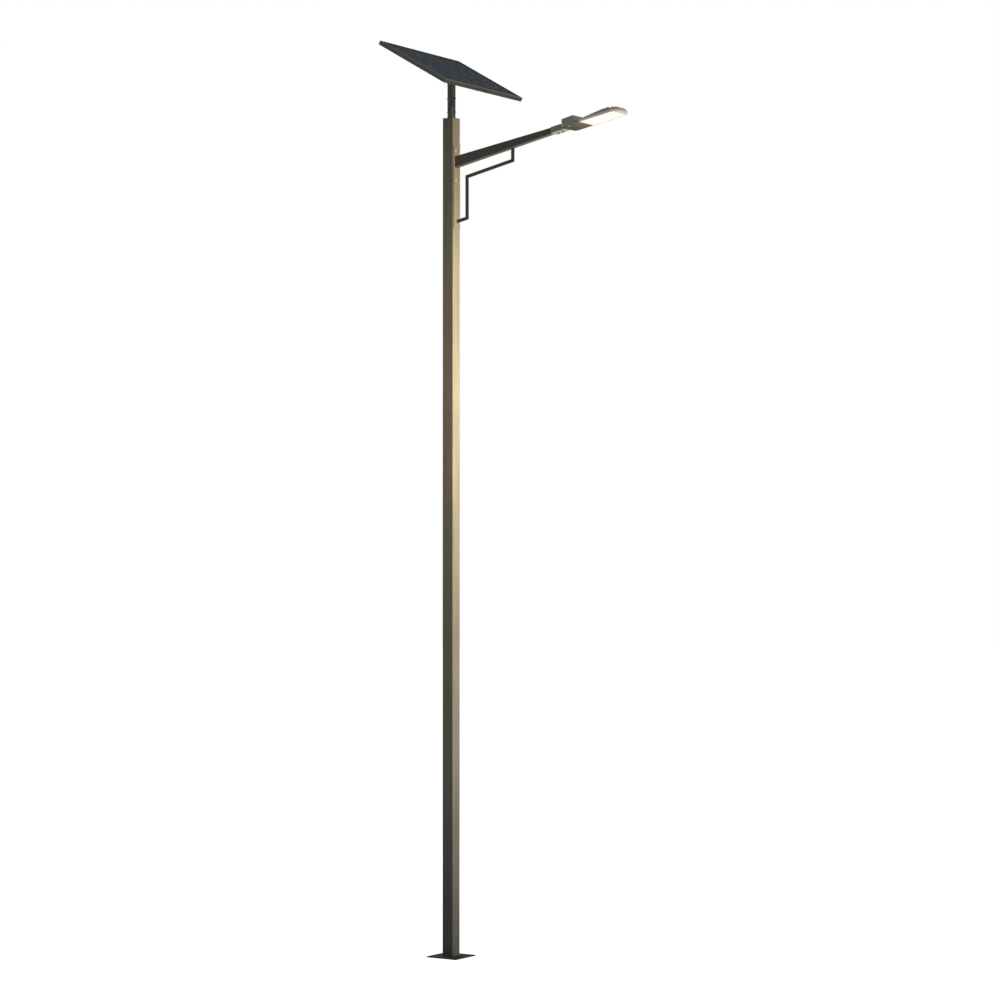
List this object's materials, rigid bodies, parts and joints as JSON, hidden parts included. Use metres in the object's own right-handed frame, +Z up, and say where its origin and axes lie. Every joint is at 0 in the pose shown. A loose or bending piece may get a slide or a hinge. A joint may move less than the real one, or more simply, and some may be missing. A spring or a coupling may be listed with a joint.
{
  "type": "solar street lamp",
  "caption": "Square steel pole on a base plate with a tapered outreach arm and stepped brace, an LED lamp head with a service cover, and a tilting solar panel on a round mast.",
  "frame": {"origin": "centre of the base plate's underside, where the lamp stands on its foundation", "axes": "+Z up along the pole, +X along the outreach arm towards the lamp head, +Y along the panel's long side"},
  "size_m": [1.7364, 0.985, 6.515],
  "materials": {
    "bronze_paint": "satin powder coat",
    "mast_paint": "semi-gloss paint",
    "frame_anodised": "dark bronze anodised",
    "lamp_casting": "powder-coated die casting",
    "cover_casting": "powder-coated die casting",
    "zinc": "galvanised",
    "stainless": "stainless",
    "rubber": "matt",
    "black_plastic": "moulded",
    "panel_glass": "tempered",
    "cell": "anti-reflective silicon",
    "backsheet": "laminate film",
    "battery_wrap": "heat-shrink sleeve",
    "controller": "anodised",
    "board": "solder mask",
    "emitter": "phosphor",
    "optic": "moulded optic",
    "lamp_glass": "diffusing tempered glass"
  },
  "bodies": {
    "pole": {"base_plate": "bronze_paint", "pole_shaft": "bronze_paint", "pole_top_plate": "bronze_paint", "mast_spigot": "zinc", "spigot_guide": "bronze_paint", "arm_plate": "bronze_paint", "arm_plate_bolts": "stainless", "arm_plate_washers": "stainless", "arm_rivet_nuts": "zinc", "arm_beam": "bronze_paint", "arm_tip_plate": "bronze_paint", "arm_spigot": "zinc", "arm_brace": "bronze_paint", "arm_cable": "rubber", "cable_grommet": "rubber"},
    "mast": {"mast_sleeve": "mast_paint", "mast_set_bolts": "mast_paint", "mast_head_plate": "mast_paint", "mast_ears": "mast_paint", "tilt_pivot_bolt": "stainless", "tilt_pivot_nut": "stainless"},
    "panel": {"frame_long_rails": "frame_anodised", "frame_short_rails": "frame_anodised", "frame_corner_keys": "zinc", "panel_glass": "panel_glass", "solar_cells": "cell", "cell_ribbons": "stainless", "backsheet": "backsheet", "junction_box": "black_plastic", "junction_box_lid": "black_plastic", "bypass_diodes": "black_plastic", "cross_rails": "zinc", "rail_bolts": "stainless", "rail_nuts": "stainless", "tilt_saddle": "mast_paint", "pivot_spacer": "zinc", "tilt_lock_bolt": "stainless", "tilt_lock_nut": "stainless"},
    "lamp_head": {"slip_fitter": "lamp_casting", "fitter_clamp_screws": "stainless", "gear_housing": "lamp_casting", "fitter_flange_screws": "stainless", "lead_grommet": "rubber", "pressure_vent": "black_plastic", "battery_cells": "battery_wrap", "battery_holder": "black_plastic", "charge_controller": "controller", "terminal_block": "black_plastic", "heat_sink": "lamp_casting", "heat_sink_screws": "stainless", "led_board": "board", "led_chips": "emitter", "lens_array": "optic", "glass_gasket": "rubber", "lamp_glass": "lamp_glass", "lamp_bezel": "lamp_casting", "cover_hinge_pins": "stainless"},
    "cover": {"service_cover": "cover_casting", "cover_gasket": "rubber"},
    "latch": {"cover_latch": "stainless"}
  },
  "joints": [
    {"name": "mast_swivel", "type": "hinge", "parent": "pole", "child": "mast", "pos_m": [0, 0, 6.1], "axis": [0, 0, 1], "range_deg": [-180, 180]},
    {"name": "panel_tilt", "type": "hinge", "parent": "mast", "child": "panel", "pos_m": [0, 0, 6.288], "axis": [0, 1, 0], "range_deg": [-30, 30]},
    {"name": "lamp_roll", "type": "hinge", "parent": "pole", "child": "lamp_head", "pos_m": [0.91114, 0, 5.84573], "axis": [0.9828, 0, 0.1846], "range_deg": [-30, 30]},
    {"name": "cover_swing", "type": "hinge", "parent": "lamp_head", "child": "cover", "pos_m": [1.06735, 0.093, 5.8537], "axis": [0.9828, 0, 0.1846], "range_deg": [0, 75]},
    {"name": "latch_turn", "type": "hinge", "parent": "cover", "child": "latch", "pos_m": [1.05316, -0.086, 5.84798], "axis": [-0.1846, 0, 0.9828], "range_deg": [-90, 0]}
  ]
}
